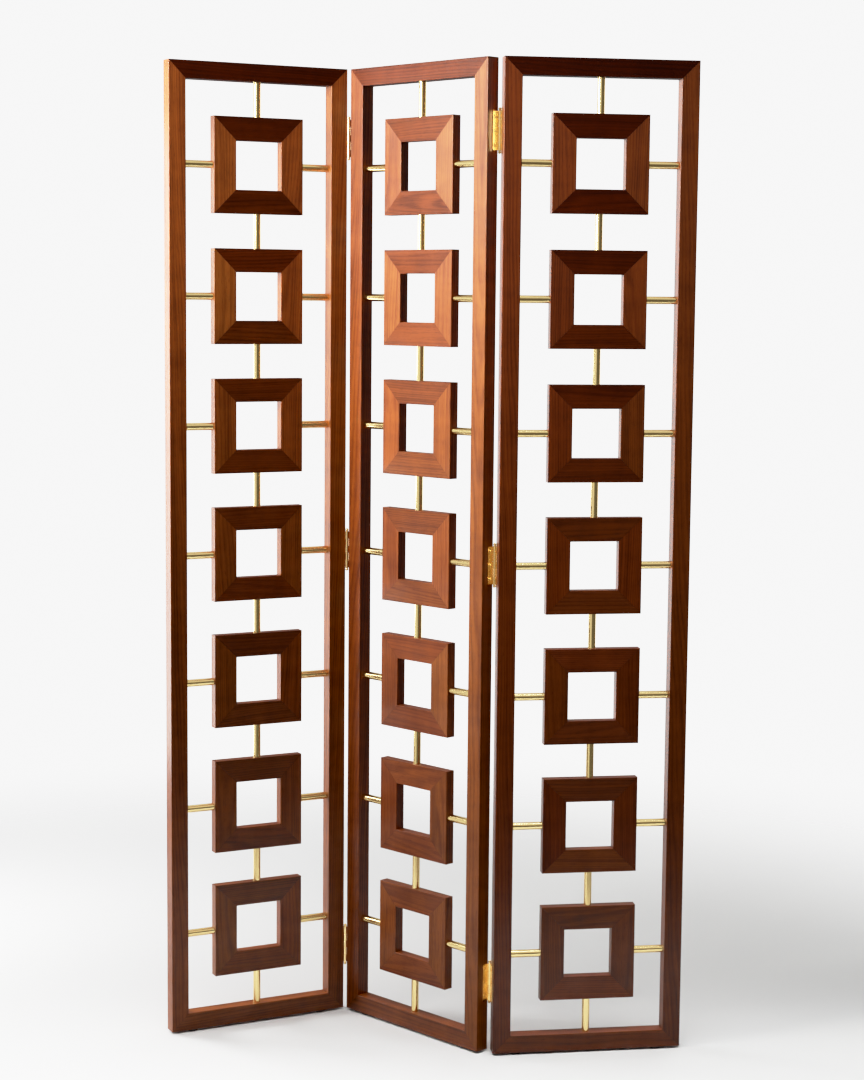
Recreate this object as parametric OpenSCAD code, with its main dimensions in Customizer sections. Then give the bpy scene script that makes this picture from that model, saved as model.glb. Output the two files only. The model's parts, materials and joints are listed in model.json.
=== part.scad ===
// Three-leaf folding screen. Every leaf is a mitred hardwood frame that carries a column
// of square wooden rings on short brass rods. Ball-tipped butt hinges join the leaves in
// a zigzag, and each leaf stands on two round glides.
//
// A leaf is drawn in its own frame: +X along its width, +Y from its front face to its
// back face and +Z up, from the lower left front corner of the wood.

/* [Leaf frame] */
// Height of the wooden frame of a leaf
panel_h = 1825; // [1500:5:2100]
// Width of a leaf
panel_w = 357; // [320:1:480]
// Thickness of a leaf
panel_t = 28; // [24:0.5:40]
// Face width of the stiles and rails
member_w = 33; // [30:0.5:48]
// Width of the eased long edges of every wooden bar
arris = 1; // [0.5:0.1:1.5]
// Thickness of the glue line in each mitre
glue_line = 0.1; // [0.05:0.05:0.3]

/* [Square rings] */
// Number of rings in a leaf
block_count = 7; // [5:1:7]
// Outer side of a ring
block_size = 178; // [150:1:190]
// Face width of the four bars of a ring
block_bar_w = 44; // [30:1:56]
// Thickness of a ring, centred in the leaf
block_t = 20; // [16:0.5:24]

/* [Brass rods] */
// Diameter of the rods
rod_d = 14; // [8:0.5:15]
// Depth of the blind socket at each end of a rod
rod_seat = 10; // [6:0.5:12]
// Radial clearance of a rod in its socket
rod_fit = 0.1; // [0.05:0.05:0.2]
// Room between the end of a rod and the bottom of its socket
rod_end_room = 0.3; // [0.1:0.1:1]

/* [Mitre keys] */
// Length of a loose key along its mitre
key_l = 18; // [12:1:20]
// Width of a key across its mitre
key_w = 14; // [10:1:16]
// Thickness of a key
key_t = 4; // [3:0.5:6]
// Clearance of a key in its slot, on every side
key_fit = 0.1; // [0.05:0.05:0.2]

/* [Hinges] */
// Hinges on each folding line
hinge_count = 3; // [2:1:4]
// Height of a hinge leaf
hinge_h = 70; // [60:1:90]
// Distance from the end of the frame to the middle of the nearest hinge
hinge_inset = 129; // [90:1:160]
// Width of a hinge leaf on the edge of the stile
leaf_w = 14.5; // [13:0.5:20]
// Thickness of a hinge leaf
leaf_t = 1.4; // [1.2:0.1:1.5]
// Number of knuckles of a hinge, shared by its two leaves
knuckle_count = 5; // [3:2:7]
// Outer diameter of the knuckles
barrel_d = 5.8; // [5:0.1:6.4]
// Gap between two neighbouring knuckles
knuckle_gap = 0.3; // [0.2:0.1:0.6]
// Room round a knuckle in the cut-out of the opposite leaf
knuckle_room = 0.4; // [0.3:0.1:0.6]
// Distance of the pin's axis from the face that the leaf folds onto
pin_out = 2; // [1.8:0.1:3]
// Distance of the pin's axis beyond the edge of the stile
pin_side = 2.3; // [2.3:0.1:3]
// Diameter of a hinge pin
pin_d = 3; // [2.5:0.1:3.4]
// Radial running clearance of a pin in its knuckles
pin_fit = 0.05; // [0.02:0.01:0.08]
// Diameter of the ball at each end of a hinge
ball_d = 5.8; // [5:0.1:6.4]
// Height of a ball tip with its collar
tip_h = 6.2; // [6:0.1:8]
// Thickness of the collar under a ball
collar_t = 1.2; // [0.8:0.1:1.8]
// Room between a tip and the outermost knuckle
tip_room = 0.1; // [0.05:0.05:0.3]
// Depth of the pin inside the lower ball tip
tip_grip = 3; // [2:0.5:4]

/* [Hinge screws] */
// Screws in each hinge leaf
screw_count = 3; // [2:1:3]
// Distance between neighbouring screws
screw_pitch = 25.5; // [20:0.5:27]
// Distance of the screws from the face that the leaf folds onto
screw_in = 7.8; // [6.5:0.1:9]
// Diameter of a screw head
screw_head_d = 6; // [5:0.1:6.4]
// Height of the domed head above the leaf
screw_dome = 0.7; // [0.4:0.1:0.7]
// Depth of the countersunk cone under the head
screw_cone = 1.1; // [0.8:0.1:1.2]
// Diameter of the shank
screw_d = 2.8; // [2.4:0.1:3.2]
// Length of a screw below the surface of the leaf
screw_l = 12; // [9:0.5:14]
// Clearance of a screw in the leaf and in its pilot hole
screw_fit = 0.1; // [0.05:0.05:0.15]

/* [Glides] */
// Diameter of a glide
foot_d = 22; // [18:0.5:24]
// Height of a glide
foot_h = 4; // [3:0.5:8]
// Width and height of the bevel round the foot of a glide
foot_bevel = 1; // [0.5:0.1:1.5]
// Distance of a glide's middle from the edge of its leaf
foot_inset = 45; // [40:1:80]
// Diameter of the recess that hides the nail's head
recess_d = 8; // [7.5:0.5:10]
// Depth of that recess
recess_h = 1.5; // [1.4:0.1:2]
// Diameter of the nail's head
nail_head_d = 6.5; // [5:0.5:7]
// Thickness of the nail's head
nail_head_t = 0.8; // [0.5:0.1:1]
// Diameter of the nail
nail_d = 2.4; // [2:0.1:3]
// Length of the nail above the glide
nail_l = 14; // [10:0.5:18]
// Radial clearance of the nail in the glide and in the rail
nail_fit = 0.05; // [0.05:0.05:0.1]

/* [Stance] */
// Direction of the middle leaf's width, measured from +X
middle_heading = -44.5; // [-90:0.5:0]
// Fold of the left leaf on the middle one, 0 flat and 180 closed on its front
left_fold = 71.5; // [0:0.5:180]
// Fold of the right leaf on the middle one, 0 flat and 180 closed on its back
right_fold = 53.5; // [0:0.5:180]

/* [Hidden] */
$fn = 48;
overcut = 0.1;
wood = "#6a3a20";
key_wood = "#c9a87c";
brass = "#b8924a";
steel = "#9a9a9a";
plastic = "#1c1b1a";

// rings and rods
ring_gap = (panel_h - 2 * member_w - block_count * block_size) / (block_count + 1);
ring_pitch = block_size + ring_gap;
ring_u = (panel_w - block_size) / 2;
side_gap = ring_u - member_w;
function ring_z(k) = member_w + ring_gap + k * ring_pitch;
function ring_mid(k) = ring_z(k) + block_size / 2;

// hinges
knuckle_h = hinge_h / knuckle_count;
hinge_step = (panel_h - 2 * hinge_inset) / (hinge_count - 1);
pin_end = hinge_h / 2 + tip_room;
screw_span = (screw_count - 1) * screw_pitch;
dome_r = (pow(screw_head_d / 2, 2) + pow(screw_dome, 2)) / (2 * screw_dome);
point_l = screw_d;

// where each leaf holds the pins of its hinges, seen from above
left_pin = [panel_w + pin_side, -pin_out];
middle_left_pin = [-pin_side, -pin_out];
middle_right_pin = [panel_w + pin_side, panel_t + pin_out];
right_pin = [-pin_side, panel_t + pin_out];

// middle of the whole screen, seen from above
function turn(p, a) = [p.x * cos(a) - p.y * sin(a), p.x * sin(a) + p.y * cos(a)];
function eased(w, t) = [[arris, 0], [w - arris, 0], [w, arris], [w, t - arris],
                        [w - arris, t], [arris, t], [0, t - arris], [0, arris]];
outline = eased(panel_w, panel_t);
left_outline = [for (p = outline) middle_left_pin + turn(p - left_pin, left_fold)];
right_outline = [for (p = outline) middle_right_pin + turn(p - right_pin, right_fold)];
plan = [for (p = concat(outline, left_outline, right_outline)) turn(p, middle_heading)];
plan_x = [for (p = plan) p.x];
plan_y = [for (p = plan) p.y];
plan_mid = [(min(plan_x) + max(plan_x)) / 2, (min(plan_y) + max(plan_y)) / 2];

panels = ["left_panel", "middle_panel", "right_panel"];
panel_parts = concat(
    ["left_stile", "right_stile", "top_rail", "bottom_rail"],
    [for (k = [1 : block_count]) str("block_", k)],
    ["vertical_rods", "side_rods", "mitre_keys", "feet", "foot_nails"]);

// ---- places ----

// Moves a leaf, drawn in its own frame, to its place in the standing screen.
module in_panel(panel) {
    translate([-plan_mid.x, -plan_mid.y, foot_h])
        rotate(middle_heading)
            if (panel == "left_panel")
                translate(middle_left_pin) rotate(left_fold) translate(-left_pin) children();
            else if (panel == "right_panel")
                translate(middle_right_pin) rotate(right_fold) translate(-right_pin) children();
            else
                children();
}

// Stands a flat frame up: its X stays, its Y becomes the height.
module upright() {
    translate([0, panel_t, 0]) rotate([90, 0, 0]) children();
}

// Repeats a hinge part at every hinge of a folding line.
module each_hinge() {
    for (i = [0 : hinge_count - 1])
        translate([0, 0, hinge_inset + i * hinge_step]) children();
}

// A hinge part is drawn with the pin on the Z axis, the stile beyond +X and the leaf of
// the screen beyond +Y. These four turn it to the line that it belongs to.
module left_line_on_left() {
    translate(left_pin) mirror([1, 0, 0]) each_hinge() children();
}
module left_line_on_middle() {
    translate(middle_left_pin) each_hinge() children();
}
module right_line_on_middle() {
    translate(middle_right_pin) rotate(180) each_hinge() children();
}
module right_line_on_right() {
    translate(right_pin) mirror([0, 1, 0]) each_hinge() children();
}

// ---- wood ----

// A bar with eased long edges, mitred at both ends. Its outer edge lies on Y = 0.
module mitred_bar(length, width, thickness) {
    back = glue_line / sqrt(2);
    intersection() {
        linear_extrude(thickness)
            polygon([[back, 0], [length - back, 0], [length - width - back, width], [width + back, width]]);
        rotate([90, 0, 90]) linear_extrude(length) polygon(eased(width, thickness));
    }
}

// The four loose keys in the corners of a flat frame, or their slots with extra room.
module corner_keys(w, h, bar_w, room = 0) {
    for (x = [bar_w / 2, w - bar_w / 2])
        for (y = [bar_w / 2, h - bar_w / 2])
            translate([x, y, 0])
                rotate((x < w / 2) == (y < h / 2) ? 45 : -45)
                    cube([key_l + 2 * room, key_w + 2 * room, key_t + 2 * room], center = true);
}

// A blind rod socket that opens towards -Y at the origin.
module socket() {
    translate([0, -overcut, 0]) rotate([-90, 0, 0])
        cylinder(d = rod_d + 2 * rod_fit, h = rod_seat + overcut);
}

module stile_sockets(u, side) {
    for (k = [0 : block_count - 1])
        translate([u, ring_mid(k), panel_t / 2]) rotate(side) socket();
}

module frame_key_slots() {
    translate([0, 0, panel_t / 2]) corner_keys(panel_w, panel_h, member_w, key_fit);
}

module left_stile() {
    upright() difference() {
        translate([0, panel_h, 0]) rotate(-90) mitred_bar(panel_h, member_w, panel_t);
        stile_sockets(member_w, 90);
        frame_key_slots();
    }
}

module right_stile() {
    upright() difference() {
        translate([panel_w, 0, 0]) rotate(90) mitred_bar(panel_h, member_w, panel_t);
        stile_sockets(panel_w - member_w, -90);
        frame_key_slots();
    }
}

module top_rail() {
    upright() difference() {
        translate([panel_w, panel_h, 0]) rotate(180) mitred_bar(panel_w, member_w, panel_t);
        translate([panel_w / 2, panel_h - member_w, panel_t / 2]) socket();
        frame_key_slots();
    }
}

module bottom_rail() {
    difference() {
        upright() difference() {
            mitred_bar(panel_w, member_w, panel_t);
            translate([panel_w / 2, member_w, panel_t / 2]) rotate(180) socket();
            frame_key_slots();
        }
        each_foot() nail_hole(nail_l + overcut);
    }
}

// One square ring: four equal bars, each with a rod socket in the middle of its outer edge.
module ring() {
    for (side = [0 : 90 : 270])
        translate([block_size / 2, block_size / 2, 0]) rotate(side)
            translate([-block_size / 2, -block_size / 2, 0])
                difference() {
                    mitred_bar(block_size, block_bar_w, block_t);
                    translate([block_size / 2, 0, block_t / 2]) socket();
                    translate([0, 0, block_t / 2])
                        corner_keys(block_size, block_size, block_bar_w, key_fit);
                }
}

module block(k) {
    upright() translate([ring_u, ring_z(k), (panel_t - block_t) / 2]) ring();
}

module mitre_keys() {
    upright() translate([0, 0, panel_t / 2]) {
        corner_keys(panel_w, panel_h, member_w);
        for (k = [0 : block_count - 1])
            translate([ring_u, ring_z(k), 0]) corner_keys(block_size, block_size, block_bar_w);
    }
}

// ---- rods ----

// A rod along +Z that bridges a gap and reaches into the socket at each end.
module rod(gap) {
    reach = rod_seat - rod_end_room;
    translate([0, 0, -reach]) cylinder(d = rod_d, h = gap + 2 * reach);
}

module vertical_rods() {
    for (k = [0 : block_count])
        translate([panel_w / 2, panel_t / 2, ring_z(k) - ring_gap]) rod(ring_gap);
}

module side_rods() {
    for (k = [0 : block_count - 1])
        for (u = [member_w, panel_w - ring_u])
            translate([u, panel_t / 2, ring_mid(k)]) rotate([0, 90, 0]) rod(side_gap);
}

// ---- hinges ----

// Repeats a knuckle-high piece at every second knuckle, from the given one up.
module at_knuckles(first) {
    for (k = [first : 2 : knuckle_count - 1])
        translate([0, 0, k * knuckle_h - hinge_h / 2]) children();
}

module each_screw() {
    for (j = [0 : screw_count - 1])
        translate([pin_side - leaf_t, pin_out + screw_in, j * screw_pitch - screw_span / 2])
            rotate([0, -90, 0]) children();
}

// A hinge leaf whose own knuckles start at the given place: 0 for three, 1 for two.
module hinge_leaf(first) {
    difference() {
        union() {
            translate([pin_side - leaf_t, 0, -hinge_h / 2]) cube([leaf_t, pin_out + leaf_w, hinge_h]);
            at_knuckles(first) translate([0, 0, knuckle_gap / 2])
                cylinder(d = barrel_d, h = knuckle_h - knuckle_gap);
        }
        at_knuckles(1 - first) translate([0, 0, -knuckle_gap / 2])
            cylinder(d = barrel_d + 2 * knuckle_room, h = knuckle_h + knuckle_gap);
        translate([0, 0, -hinge_h / 2 - overcut])
            cylinder(d = pin_d + 2 * pin_fit, h = hinge_h + 2 * overcut);
        each_screw() {
            translate([0, 0, -screw_cone - overcut])
                cylinder(d1 = screw_d + 2 * screw_fit, d2 = screw_head_d + 2 * screw_fit, h = screw_cone + overcut);
            translate([0, 0, -leaf_t - overcut])
                cylinder(d = screw_d + 2 * screw_fit, h = leaf_t + 2 * overcut);
        }
    }
}

// An oval-head wood screw, head up, with its rim level with the leaf's surface at Z = 0.
module screw() {
    intersection() {
        translate([0, 0, screw_dome - dome_r]) sphere(r = dome_r);
        cylinder(d = screw_head_d, h = screw_dome);
    }
    translate([0, 0, -screw_cone]) cylinder(d1 = screw_d, d2 = screw_head_d, h = screw_cone);
    translate([0, 0, point_l - screw_l]) cylinder(d = screw_d, h = screw_l - point_l);
    translate([0, 0, -screw_l]) cylinder(d1 = 0, d2 = screw_d, h = point_l);
}

module pilot_hole() {
    translate([0, 0, -screw_l - overcut])
        cylinder(d = screw_d + 2 * screw_fit, h = screw_l);
}

// A ball on a collar, standing on Z = 0.
module ball_tip() {
    cylinder(d = barrel_d, h = collar_t);
    translate([0, 0, tip_h - ball_d / 2]) sphere(d = ball_d);
}

// The pin hangs from its upper ball, and its lower end grips in the lower one.
module hinge_pin() {
    translate([0, 0, pin_end]) ball_tip();
    translate([0, 0, -pin_end - tip_grip]) cylinder(d = pin_d, h = 2 * pin_end + tip_grip);
}

module lower_tip() {
    difference() {
        translate([0, 0, -pin_end]) mirror([0, 0, 1]) ball_tip();
        translate([0, 0, -pin_end - tip_grip - overcut])
            cylinder(d = pin_d + 2 * pin_fit, h = tip_grip + 2 * overcut);
    }
}

// ---- glides ----

module each_foot() {
    for (u = [foot_inset, panel_w - foot_inset])
        translate([u, panel_t / 2, 0]) children();
}

module nail_hole(h) {
    cylinder(d = nail_d + 2 * nail_fit, h = 2 * h, center = true);
}

module foot() {
    difference() {
        translate([0, 0, -foot_h]) {
            cylinder(d1 = foot_d - 2 * foot_bevel, d2 = foot_d, h = foot_bevel);
            translate([0, 0, foot_bevel]) cylinder(d = foot_d, h = foot_h - foot_bevel);
        }
        translate([0, 0, -foot_h - overcut]) cylinder(d = recess_d, h = recess_h + overcut);
        nail_hole(foot_h + overcut);
    }
}

module foot_nail() {
    head_top = recess_h - foot_h;
    point = nail_d;
    translate([0, 0, head_top - nail_head_t]) cylinder(d = nail_head_d, h = nail_head_t);
    translate([0, 0, head_top]) cylinder(d = nail_d, h = nail_l - point - head_top);
    translate([0, 0, nail_l - point]) cylinder(d1 = nail_d, d2 = 0, h = point);
}

// ---- the pieces of one leaf, by name ----

module panel_part(panel, part) {
    if (part == "left_stile") color(wood) difference() {
        left_stile();
        if (panel == "middle_panel") left_line_on_middle() each_screw() pilot_hole();
        if (panel == "right_panel") right_line_on_right() each_screw() pilot_hole();
    }
    if (part == "right_stile") color(wood) difference() {
        right_stile();
        if (panel == "left_panel") left_line_on_left() each_screw() pilot_hole();
        if (panel == "middle_panel") right_line_on_middle() each_screw() pilot_hole();
    }
    if (part == "top_rail") color(wood) top_rail();
    if (part == "bottom_rail") color(wood) bottom_rail();
    for (k = [1 : block_count])
        if (part == str("block_", k)) color(wood) block(k - 1);
    if (part == "vertical_rods") color(brass) vertical_rods();
    if (part == "side_rods") color(brass) side_rods();
    if (part == "mitre_keys") color(key_wood) mitre_keys();
    if (part == "feet") color(plastic) each_foot() foot();
    if (part == "foot_nails") color(steel) each_foot() foot_nail();
}

// ---- the hinges, by name ----

module left_panel_hinge_leaves() {
    color(brass) in_panel("left_panel") left_line_on_left() hinge_leaf(1);
}
module left_panel_hinge_screws() {
    color(brass) in_panel("left_panel") left_line_on_left() each_screw() screw();
}
module middle_panel_left_hinge_leaves() {
    color(brass) in_panel("middle_panel") left_line_on_middle() hinge_leaf(0);
}
module middle_panel_left_hinge_screws() {
    color(brass) in_panel("middle_panel") left_line_on_middle() each_screw() screw();
}
module middle_panel_right_hinge_leaves() {
    color(brass) in_panel("middle_panel") right_line_on_middle() hinge_leaf(0);
}
module middle_panel_right_hinge_screws() {
    color(brass) in_panel("middle_panel") right_line_on_middle() each_screw() screw();
}
module right_panel_hinge_leaves() {
    color(brass) in_panel("right_panel") right_line_on_right() hinge_leaf(1);
}
module right_panel_hinge_screws() {
    color(brass) in_panel("right_panel") right_line_on_right() each_screw() screw();
}
module left_hinge_pins() {
    color(brass) in_panel("middle_panel") left_line_on_middle() hinge_pin();
}
module left_hinge_tips() {
    color(brass) in_panel("middle_panel") left_line_on_middle() lower_tip();
}
module right_hinge_pins() {
    color(brass) in_panel("middle_panel") right_line_on_middle() hinge_pin();
}
module right_hinge_tips() {
    color(brass) in_panel("middle_panel") right_line_on_middle() lower_tip();
}

for (panel = panels) for (part = panel_parts)
    in_panel(panel) panel_part(panel, part);
left_panel_hinge_leaves();
left_panel_hinge_screws();
middle_panel_left_hinge_leaves();
middle_panel_left_hinge_screws();
middle_panel_right_hinge_leaves();
middle_panel_right_hinge_screws();
right_panel_hinge_leaves();
right_panel_hinge_screws();
left_hinge_pins();
left_hinge_tips();
right_hinge_pins();
right_hinge_tips();
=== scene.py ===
import json
import math
import random

import bmesh
import bpy
from mathutils import Matrix, Vector


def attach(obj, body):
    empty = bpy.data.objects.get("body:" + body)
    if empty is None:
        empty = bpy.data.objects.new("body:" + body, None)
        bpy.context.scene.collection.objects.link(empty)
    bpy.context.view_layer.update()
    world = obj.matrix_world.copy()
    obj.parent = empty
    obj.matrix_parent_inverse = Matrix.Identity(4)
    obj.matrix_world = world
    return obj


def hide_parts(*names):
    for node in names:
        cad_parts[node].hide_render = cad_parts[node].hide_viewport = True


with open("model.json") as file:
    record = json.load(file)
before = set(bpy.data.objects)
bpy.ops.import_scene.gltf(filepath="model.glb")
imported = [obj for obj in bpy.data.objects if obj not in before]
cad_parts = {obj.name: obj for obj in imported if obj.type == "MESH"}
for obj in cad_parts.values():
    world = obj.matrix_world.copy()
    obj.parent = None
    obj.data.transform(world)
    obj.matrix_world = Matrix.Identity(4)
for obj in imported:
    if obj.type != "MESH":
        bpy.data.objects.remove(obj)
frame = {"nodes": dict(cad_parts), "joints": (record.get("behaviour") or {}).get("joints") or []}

scene = bpy.context.scene
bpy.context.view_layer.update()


# ---- camera ----
# The camera stands four metres in front of the screen, at three quarters of its height,
# and looks a little down through a long lens.
film_width = 36
lens_length = 73.138
eye_place = (0.0365, -4.0958, 1.4044)
turned_left = 0.347
looking_down = 6.339
tilted = 0.516


def moved(x, y, z):
    """A move, in metres."""
    return Matrix.Translation((x, y, z))


def turned(degrees, axis):
    """A turn about an axis through the origin."""
    return Matrix.Rotation(math.radians(degrees), 4, axis)


camera = bpy.data.objects.new("camera", bpy.data.cameras.new("camera"))
camera.data.sensor_width = film_width
camera.data.lens = lens_length
camera.matrix_world = (moved(*eye_place) @ turned(turned_left, "Z")
                       @ turned(90 - looking_down, "X") @ turned(tilted, "Z"))
scene.collection.objects.link(camera)
scene.camera = camera


# ---- studio ----
# A white floor runs out into a white background. Softboxes on the left light the boards,
# a white wall and a backdrop light their edges and the floor, and glossy faces mirror the
# bright patches of a dim room.
black_point = 0.0035
shoulder_start = 0.45
brightest = 4.0
curve_lights = (shoulder_start, 0.7, 1.0, 1.4, 2.0, 2.8)
all_channels = 3


def shoulder(light):
    """Eases a light that is past the start of the shoulder towards white."""
    rest = 1 - shoulder_start
    return shoulder_start + rest * (1 - math.exp((shoulder_start - light) / rest))


# A print's tones: the deepest shadows go to black, and the highlights ease into white.
scene.view_settings.view_transform = "Standard"
scene.view_settings.use_curve_mapping = True
print_tones = scene.view_settings.curve_mapping
print_tones.black_level = (black_point, black_point, black_point)
print_tones.clip_max_x = brightest
print_tones.curves[all_channels].points[1].location = (brightest, shoulder(brightest))
for light in curve_lights:
    print_tones.curves[all_channels].points.new(light, shoulder(light))
print_tones.update()

daylight = (1, 0.98, 0.92)
warm_daylight = (1, 0.97, 0.88)


def softbox(name, place, aim, size, watts, tint=(1, 1, 1), spread=180, mirrored=True):
    """A flat lamp of that width and height, turned towards its aim."""
    data = bpy.data.lights.new(name, "AREA")
    data.shape = "RECTANGLE"
    data.size, data.size_y = size
    data.energy = watts
    data.color = tint
    data.spread = math.radians(spread)
    lamp = bpy.data.objects.new(name, data)
    lamp.location = place
    lamp.rotation_euler = (Vector(aim) - Vector(place)).to_track_quat("-Z", "Y").to_euler()
    lamp.visible_camera = False
    lamp.visible_glossy = mirrored
    scene.collection.objects.link(lamp)


softbox("window", (-1.65, -0.95, 2.0), (0, 0, 1.85), (0.8, 0.8), 32, daylight, spread=80)
softbox("upper_beam", (-1.87, -0.4, 2.0), (0, 0, 1.65), (0.7, 0.7), 5.5, warm_daylight,
        spread=50, mirrored=False)
softbox("high_window", (-1.9, 0.5, 2.1), (0, 0, 1.8), (0.7, 0.8), 3)
softbox("skylight", (-2.1, -1.5, 3.0), (0.6, -0.3, 0), (1.0, 1.0), 5, spread=110)
softbox("white_wall", (-1.8, 0.65, 1.0), (0, 0, 1.0), (0.8, 1.6), 60)
softbox("backdrop", (2.2, 2.6, 1.4), (0.4, 0, 1.2), (2.4, 3.0), 58)
softbox("floor_front", (0.1, -0.6, 3.0), (0.1, -0.55, 0), (2.4, 0.3), 10.5, spread=32)
softbox("floor_behind", (-0.8, 1.1, 2.6), (-0.8, 1.1, 0), (1.4, 1.0), 4, spread=60)


def put(tree, kind, feeds=None, **settings):
    """Adds a node. feeds fills its inputs, with values or with other nodes' outputs."""
    made = tree.nodes.new(kind)
    for name, value in settings.items():
        setattr(made, name, value)
    for key, value in (feeds or {}).items():
        if isinstance(value, bpy.types.NodeSocket):
            tree.links.new(value, made.inputs[key])
        else:
            made.inputs[key].default_value = value
    return made


def maths(tree, operation, a, b=0.0, c=0.0):
    """One sum of a node tree."""
    return put(tree, "ShaderNodeMath", {0: a, 1: b, 2: c}, operation=operation).outputs[0]


def vector_maths(tree, operation, a, b=(0, 0, 0), result="Vector"):
    """One sum with vectors of a node tree."""
    return put(tree, "ShaderNodeVectorMath", {0: a, 1: b}, operation=operation).outputs[result]


def eased(tree, value, low, high, to_low=0.0, to_high=1.0):
    """A smooth step from to_low to to_high while value goes from low to high."""
    return put(tree, "ShaderNodeMapRange", {"Value": value, "From Min": low, "From Max": high,
                                            "To Min": to_low, "To Max": to_high},
               interpolation_type="SMOOTHSTEP").outputs[0]


def blended(tree, share, first, second):
    """Goes from the first colour to the second one as the share goes from 0 to 1."""
    return put(tree, "ShaderNodeMix", {0: share, 6: first, 7: second},
               data_type="RGBA").outputs[2]


white = (1, 1, 1, 1)
cool_white = (0.95, 0.97, 1, 1)
background_light = 1.55
fill_light = 0.02
dimmest_mirror = 0.16

# Each patch has the way to its middle, the cosines of the angles from there at which it
# starts and at which it is full, and its light.
mirror_patches = {
    "wall behind on the left": ((-0.72, 0.69, 0), 0.85, 0.97, 1.2),
    "ceiling": ((0, 0, 1), 0.3, 0.55, 0.9),
    "window side in front": ((-0.7, -0.71, 0), 0.8, 0.95, 1.0),
    "wall behind on the right": ((0.5, 0.87, 0), 0.78, 0.95, 0.6),
    "brightest part of the backdrop": ((-0.41, 0.91, 0), 0.93, 0.99, 3.2),
    "lamp high in front": ((-0.25, -0.95, 0.2), 0.93, 0.985, 1.2),
    "wall on the left": ((-0.99, -0.12, 0.05), 0.85, 0.97, 1.0),
}

world = bpy.data.worlds.new("white_studio")
scene.world = world
world.use_nodes = True
sky = world.node_tree
sky.nodes.clear()
heading = put(sky, "ShaderNodeTexCoord").outputs["Generated"]
rays = put(sky, "ShaderNodeLightPath").outputs


def sky_light(colour, strength):
    """A light that comes from all round."""
    return put(sky, "ShaderNodeBackground", {"Color": colour, "Strength": strength}).outputs[0]


def split(kind, others, these):
    """One light for the rays of a kind, and another one for the other rays."""
    return put(sky, "ShaderNodeMixShader", {0: rays[kind], 1: others, 2: these}).outputs[0]


mirror_light = dimmest_mirror
for toward, start, full, strength in mirror_patches.values():
    facing = vector_maths(sky, "DOT_PRODUCT", heading, toward, "Value")
    patch = eased(sky, facing, start, full, 0.0, strength)
    mirror_light = maths(sky, "MAXIMUM", mirror_light, patch)
shine = split("Is Glossy Ray", sky_light(cool_white, fill_light), sky_light(white, mirror_light))
seen = split("Is Camera Ray", shine, sky_light(white, background_light))
put(sky, "ShaderNodeOutputWorld", {"Surface": seen})

floor_radius = 2.6
floor_clear = 0.9
floor_sides = 96
floor_seen = (0.86, 0.865, 0.86, 1)
floor_bounce = (0.1, 0.1, 0.1, 1)
floor_roughness = 0.7


def new_material(name):
    """An empty material with its surface shader, which is returned with the tree."""
    material = bpy.data.materials.new(name)
    material.use_nodes = True
    tree = material.node_tree
    return material, tree, tree.nodes["Principled BSDF"]


def as_mesh(made, name):
    """Turns a finished bmesh into a mesh."""
    mesh = bpy.data.meshes.new(name)
    made.to_mesh(mesh)
    made.free()
    return mesh


def show(name, mesh, material):
    """Puts a mesh in the scene as an object with its material."""
    made = bpy.data.objects.new(name, mesh)
    scene.collection.objects.link(made)
    mesh.materials.append(material)
    return made


floor_paint, tree, surface = new_material("painted_floor")
surface.inputs["Roughness"].default_value = floor_roughness
sight = put(tree, "ShaderNodeLightPath").outputs
paint = blended(tree, sight["Is Diffuse Ray"], floor_seen, floor_bounce)
tree.links.new(paint, surface.inputs["Base Color"])
spot = put(tree, "ShaderNodeTexCoord").outputs["Object"]
from_middle = vector_maths(tree, "LENGTH", spot, result="Value")
fade = eased(tree, from_middle, floor_clear, floor_radius, 1.0, 0.0)
tree.links.new(fade, surface.inputs["Alpha"])
disc = bmesh.new()
bmesh.ops.create_circle(disc, cap_ends=True, segments=floor_sides, radius=floor_radius)
floor = show("floor", as_mesh(disc, "floor"), floor_paint)


# ---- stiles and rails ----
# Each leaf is a frame of four walnut bars, planed to 33 x 28 mm, mitred at the corners
# and glued over a loose key. The long edges are eased, the finish is a satin lacquer.
leaf_h = 1.825
leaf_w = 0.357
leaf_t = 0.028
member_w = 0.033
arris = 0.001
arris_steps = 4
glue_line = 0.0001
foot_h = 0.004
ring_count = 7
ring_size = 0.178
rod_r = 0.007
rod_seat = 0.010
rod_fit = 0.0001
pin_side = 0.0023
pin_out = 0.002

ring_gap = (leaf_h - 2 * member_w - ring_count * ring_size) / (ring_count + 1)
ring_bottoms = [member_w + ring_gap + k * (ring_size + ring_gap) for k in range(ring_count)]
ring_middles = [bottom + ring_size / 2 for bottom in ring_bottoms]

# A leaf lies along X from its left edge, with its front on Y = 0. The hinge lines and the
# folds' flat ends come from the frame, and give each leaf its place in the zigzag.
leaf_pins = {
    "left_panel": (leaf_w + pin_side, -pin_out),
    "middle_panel": (-pin_side, -pin_out),
    "right_panel": (-pin_side, leaf_t + pin_out),
}
joints = {joint["name"]: joint for joint in frame["joints"]}
flat_ends = {name: math.radians(joint["range_deg"][0]) for name, joint in joints.items()}
left_line, right_line = (joints[name]["pos_m"] for name in ("left_fold", "right_fold"))
across = math.atan2(leaf_t + 2 * pin_out, leaf_w + 2 * pin_side)
line_to_line = math.atan2(right_line[1] - left_line[1], right_line[0] - left_line[0])
middle_heading = line_to_line - across
headings = {
    "left_panel": middle_heading - flat_ends["left_fold"],
    "middle_panel": middle_heading,
    "right_panel": middle_heading - flat_ends["right_fold"],
}
leaf_places = {}
for leaf, (pin_u, pin_w) in leaf_pins.items():
    line = right_line if leaf == "right_panel" else left_line
    leaf_places[leaf] = (moved(line[0], line[1], foot_h)
                         @ Matrix.Rotation(headings[leaf], 4, "Z")
                         @ moved(-pin_u, -pin_w, 0))

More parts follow.
